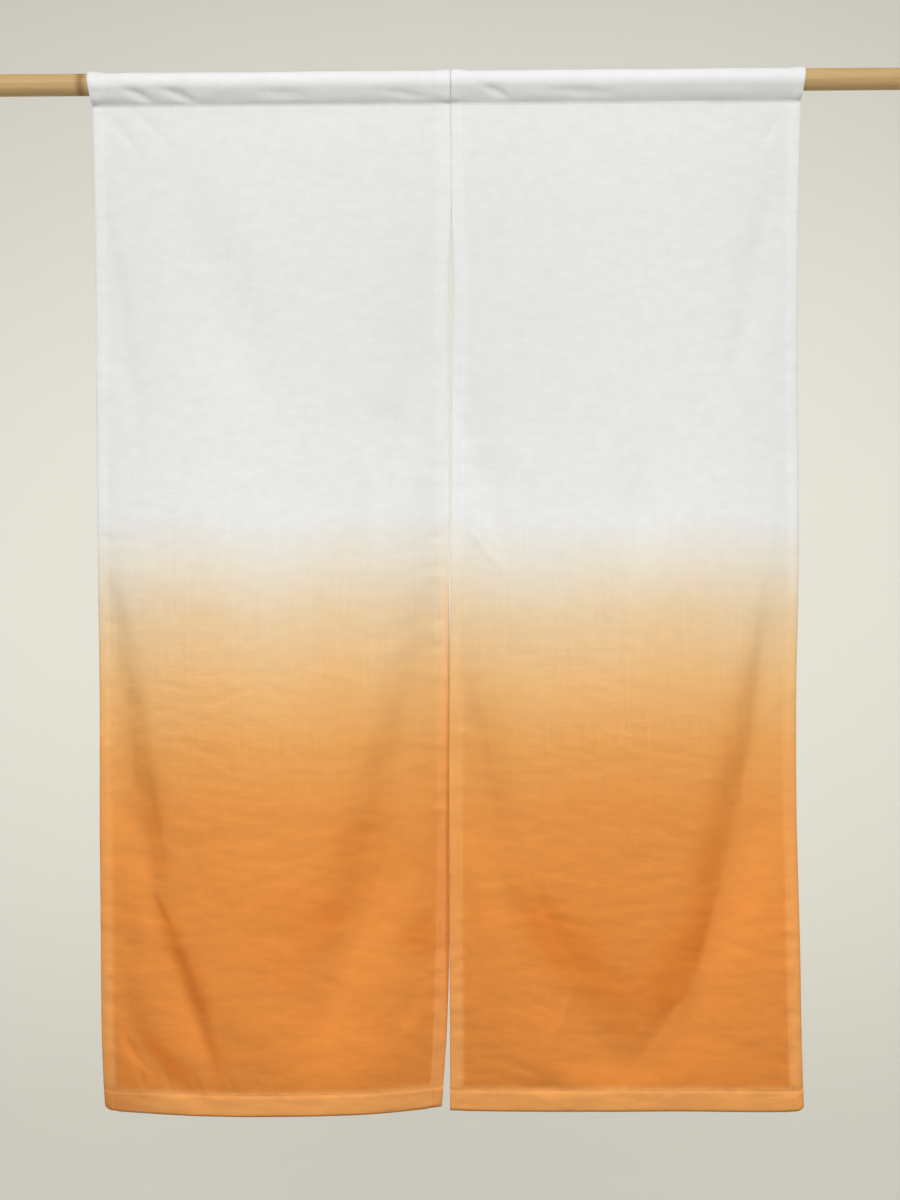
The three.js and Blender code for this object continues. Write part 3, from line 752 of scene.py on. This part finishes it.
def linen_bump(nodes, flat, slubs, dyed):
    """The weave's yarns, the slubs, and rumples of a few millimetres, stronger where the dye bath was."""
    rumpled = nodes.noise(flat, (60.0, 116.0, 1.0), 1.5)
    rumpled = nodes.math("MULTIPLY", rumpled, nodes.sum((1.0, RUMPLES_UNDYED), (dyed, RUMPLES_BY_DYE)))
    yarns = nodes.add("SeparateXYZ", {"Vector": flat}).outputs
    over, under = (
        nodes.math("SINE", nodes.math("MULTIPLY", yarns[axis], math.pi / YARN_PITCH)) for axis in (0, 1))
    weave = nodes.math("MULTIPLY", over, under)
    height = nodes.sum((weave, WEAVE_HEIGHT), (slubs, SLUB_HEIGHT), (rumpled, RUMPLE_HEIGHT))
    return nodes.add("Bump", {"Height": height, "Distance": 1.0, "Strength": 0.7}).outputs[0]


def linen_material():
    nodes = Nodes("dyed_linen")
    flat = nodes.add("UVMap", uv_map="flat_cloth").outputs[0]
    layered = nodes.add("Attribute", attribute_name="layered").outputs["Fac"]
    # slubs: thick places in the weft and, fainter, in the warp; a thick yarn takes a little more dye
    weft = nodes.noise(flat, (22.0, 620.0, 1.0), 3.0)
    warp = nodes.noise(flat, (620.0, 16.0, 1.0), 3.0)
    slubs = nodes.sum((weft, WEFT_SLUBS), (warp, WARP_SLUBS))
    cloudy = nodes.noise(flat, (58.0, 84.0, 1.0), 4.0)
    colour, dyed = linen_colour(nodes, slubs, cloudy, layered)
    bump = linen_bump(nodes, flat, slubs, dyed)
    cloth = nodes.add("BsdfPrincipled", {
        "Base Color": colour, "Roughness": 0.92, "Specular IOR Level": 0.18, "Sheen Weight": 0.05,
        "Sheen Roughness": 0.5, "Normal": bump}).outputs[0]
    through = nodes.add("BsdfTranslucent", {"Color": colour, "Normal": bump}).outputs[0]
    passed = nodes.math("MULTIPLY", nodes.math("SUBTRACT", 1.0, layered), THROUGH)
    return nodes.finish(nodes.add("MixShader", {0: passed, 1: cloth, 2: through}).outputs[0])


def thread_material():
    nodes = Nodes("dyed_thread")
    place = nodes.add("TexCoord").outputs["Object"]
    twist = nodes.noise(place, (3000.0, 3000.0, 3000.0), 1.0)
    light = nodes.sum((twist, 0.14), (1.0, 0.98))
    colour = nodes.mix("MULTIPLY", 1.0, dye_colour(nodes)[0], nodes.grey(light))
    bump = nodes.add("Bump", {"Height": twist, "Distance": 0.0001, "Strength": 0.6}).outputs[0]
    return nodes.finish(nodes.add("BsdfPrincipled", {
        "Base Color": colour, "Roughness": 0.75, "Specular IOR Level": 0.3, "Normal": bump}).outputs[0])


SHADOW_RING_X, SHADOW_RING_REACH = -0.4175, 0.0085  # painted shadow: a darker ring round the rod right beside the left panel, where the pocket's end shades it
SHADOW_RING_WANDER = 0.006
PITH_Y, PITH_Z = -0.021, -0.009  # the tree's pith ran here, beside the rod
RING_PITCH, RING_WANDER = 0.0022, 0.010
RING_SHADE, PORE_SHADE, STREAK_SHADE, LEAST_GRAIN = 0.07, 0.45, 0.30, 0.125


def rod_material():
    """Wood cut from the solid: its yearly rings show as arcs on the ends and as grain along the sides."""
    nodes = Nodes("bare_wood")
    place = nodes.add("TexCoord").outputs["Object"]
    x, y, z = nodes.add("SeparateXYZ", {"Vector": place}).outputs
    wander = nodes.noise(place, (1.6, 30.0, 30.0))
    from_pith = nodes.add("CombineXYZ", {
        "Y": nodes.math("SUBTRACT", y, PITH_Y), "Z": nodes.math("SUBTRACT", z, PITH_Z)}).outputs[0]
    radius = nodes.add("VectorMath", {0: from_pith}, operation="LENGTH").outputs["Value"]
    radius = nodes.sum((radius, 1.0), (wander, RING_WANDER))
    rings = nodes.math("SINE", nodes.math("MULTIPLY", radius, 2 * math.pi / RING_PITCH))
    pores = nodes.noise(place, (36.0, 1500.0, 1500.0), 3.0)
    streaks = nodes.noise(place, (7.0, 260.0, 260.0), 2.0)
    grain = nodes.sum((rings, RING_SHADE), (pores, PORE_SHADE), (streaks, STREAK_SHADE), (1.0, LEAST_GRAIN))
    colour = nodes.ramp(grain, (
        (0.15, srgb(216, 185, 132)), (0.50, srgb(203, 168, 113)), (0.85, srgb(176, 137, 84))))
    # painted shadow: the rod is darkened in a ring just beside the left panel's pocket
    beside = nodes.sum((x, 1.0), (pores, SHADOW_RING_WANDER), (1.0, -SHADOW_RING_X))
    painted_shadow_ring = nodes.add("MapRange", {
        "Value": nodes.math("ABSOLUTE", beside), "From Min": 0.0, "From Max": SHADOW_RING_REACH,
        "To Min": 1.0, "To Max": 0.0}, interpolation_type="SMOOTHSTEP").outputs[0]
    colour = nodes.mix("MULTIPLY", painted_shadow_ring, colour, srgb(198, 189, 176))
    height = nodes.sum((pores, 1.0), (rings, 0.15))
    bump = nodes.add("Bump", {"Height": height, "Distance": 0.00012, "Strength": 0.5}).outputs[0]
    return nodes.finish(nodes.add("BsdfPrincipled", {
        "Base Color": colour, "Roughness": 0.55, "Specular IOR Level": 0.35, "Normal": bump}).outputs[0])


def plain_material(name, colour):
    nodes = Nodes(name)
    mottle = nodes.noise(nodes.add("TexCoord").outputs["Object"], (0.6, 0.6, 0.6))
    shade = nodes.ramp(mottle, ((0.3, colour), (0.7, tuple(0.985 * c for c in colour[:3]) + (1.0,))))
    shader = nodes.add("BsdfPrincipled", {"Base Color": shade, "Roughness": 0.9}).outputs[0]
    return nodes.finish(shader)


# ---------- building the object ----------

linen, thread, wood = linen_material(), thread_material(), rod_material()
panels = {
    "left": Panel(-1, LEFT_SECTIONS, LEFT_FOLDS, LEFT_CREASES),
    "right": Panel(1, RIGHT_SECTIONS, RIGHT_FOLDS, RIGHT_CREASES),
}

for side, panel in panels.items():
    hanging, hanging_layers, hanging_painted_fold_shade = hanging_rows(panel)
    pocket, pocket_layers = pocket_rows(panel)
    # the last attribute carries the painted fold shade; the pocket gets none
    cloth = add_grid(f"cloth_{side}", np.concatenate([hanging, pocket]), {
        "layered": np.concatenate([hanging_layers, pocket_layers]),
        "painted_fold_shade": np.concatenate([hanging_painted_fold_shade, np.zeros(pocket_layers.shape)])})
    cloth.data.materials.append(linen)
    sewing = add_mesh(f"sewing_{side}", *sew(panel))
    sewing.data.materials.append(thread)
    for piece in (cloth, sewing):
        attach(piece, "root")
    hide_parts(f"panel_{side}")

joining = add_mesh("sewing_middle", *joining_stitches(panels["left"], panels["right"]))
joining.data.materials.append(thread)
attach(joining, "root")

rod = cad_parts["rod"]
rod.data.materials.clear()
rod.data.materials.append(wood)


# ---------- floor, backdrop, light and camera ----------

FLOOR_Z = -3.80  # far below the cloth, out of the strongest light of the keys
WALL_Y = 4.6
COVE_RADIUS = 1.2
COVE_STEPS = 12
STAGE_HALF_WIDTH = 7.0
STAGE_FRONT_Y, STAGE_TOP_Z = -6.0, 3.0


def add_stage():
    """A pale floor that curves up into a pale backdrop, far behind the object."""
    profile = [(STAGE_FRONT_Y, FLOOR_Z)]
    for step in range(COVE_STEPS + 1):
        angle = math.pi / 2 * step / COVE_STEPS
        forward, raised = COVE_RADIUS * (1 - math.sin(angle)), COVE_RADIUS * (1 - math.cos(angle))
        profile.append((WALL_Y - forward, FLOOR_Z + raised))
    profile.append((WALL_Y, STAGE_TOP_Z))
    vertices = [(x, y, z) for x in (-STAGE_HALF_WIDTH, STAGE_HALF_WIDTH) for y, z in profile]
    count = len(profile)
    faces = [[i, i + count, i + count + 1, i + 1] for i in range(count - 1)]
    stage = add_mesh("studio_sweep", vertices, faces)
    stage.data.materials.append(plain_material("studio_paper", srgb(214, 211, 200)))


def add_area_light(name, place, target, size, power, spread=180):
    """A rectangular lamp. spread is its beam's full angle in degrees, which a grid in front of it sets."""
    light = bpy.data.lights.new(name, "AREA")
    light.shape, light.size, light.size_y = "RECTANGLE", *size
    light.energy, light.spread = power, math.radians(spread)
    lamp = bpy.data.objects.new(name, light)
    lamp.location = place
    lamp.rotation_euler = (Vector(target) - Vector(place)).to_track_quat("-Z", "Y").to_euler()
    lamp.visible_camera = False
    bpy.context.collection.objects.link(lamp)


add_stage()
add_area_light("high_fill", (0.0, -3.2, 1.6), (0.0, 0.0, 0.9), (1.8, 0.6), 20, spread=76)
add_area_light("front_fill", (0.0, -3.4, 0.6), (0.0, 0.0, 0.4), (1.6, 0.8), 2.4, spread=70)
for name, way in (("left", -1), ("right", 1)):
    # the keys hang close to the cloth above the slit, and their light rakes down and out across the folds
    add_area_light(
        f"{name}_key", (-0.2 * way, -1.1, 1.95), (0.78 * way, 0.0, -3.0), (0.35, 0.35), 6.25, spread=27)
    add_area_light(
        f"{name}_backdrop", (2.5 * way, 0.8, -0.55), (0.4 * way, WALL_Y, -0.55), (1.4, 1.4), 78)

world = bpy.data.worlds.new("studio")
world.use_nodes = True
world.node_tree.nodes["Background"].inputs["Color"].default_value = (0.96, 0.97, 1.0, 1.0)
world.node_tree.nodes["Background"].inputs["Strength"].default_value = 0.38
bpy.context.scene.world = world
bpy.context.scene.view_settings.view_transform = "Standard"

CAMERA_PLACE = Vector((0.008, -2.0, -0.583))
CAMERA_YAW, CAMERA_PITCH, CAMERA_ROLL = -0.00365, -0.00715, 0.00651  # radians: to the right, up, clockwise
FOCAL_PIXELS, LONG_SIDE_PIXELS = 1730, 1200
SENSOR_WIDTH = 36.0


def add_camera():
    level = math.cos(CAMERA_PITCH)
    ahead = Vector((math.sin(CAMERA_YAW) * level, math.cos(CAMERA_YAW) * level, math.sin(CAMERA_PITCH)))
    right = Vector((math.cos(CAMERA_YAW), -math.sin(CAMERA_YAW), 0.0))
    up = right.cross(ahead)
    right, up = (right * math.cos(CAMERA_ROLL) - up * math.sin(CAMERA_ROLL),
                 up * math.cos(CAMERA_ROLL) + right * math.sin(CAMERA_ROLL))
    data = bpy.data.cameras.new("camera")
    data.sensor_width = SENSOR_WIDTH
    data.lens = data.sensor_width * FOCAL_PIXELS / LONG_SIDE_PIXELS
    camera = bpy.data.objects.new("camera", data)
    axes = Matrix((right, up, -ahead)).transposed()
    camera.matrix_world = Matrix.LocRotScale(CAMERA_PLACE, axes.to_quaternion(), None)
    bpy.context.collection.objects.link(camera)
    bpy.context.scene.camera = camera


add_camera()
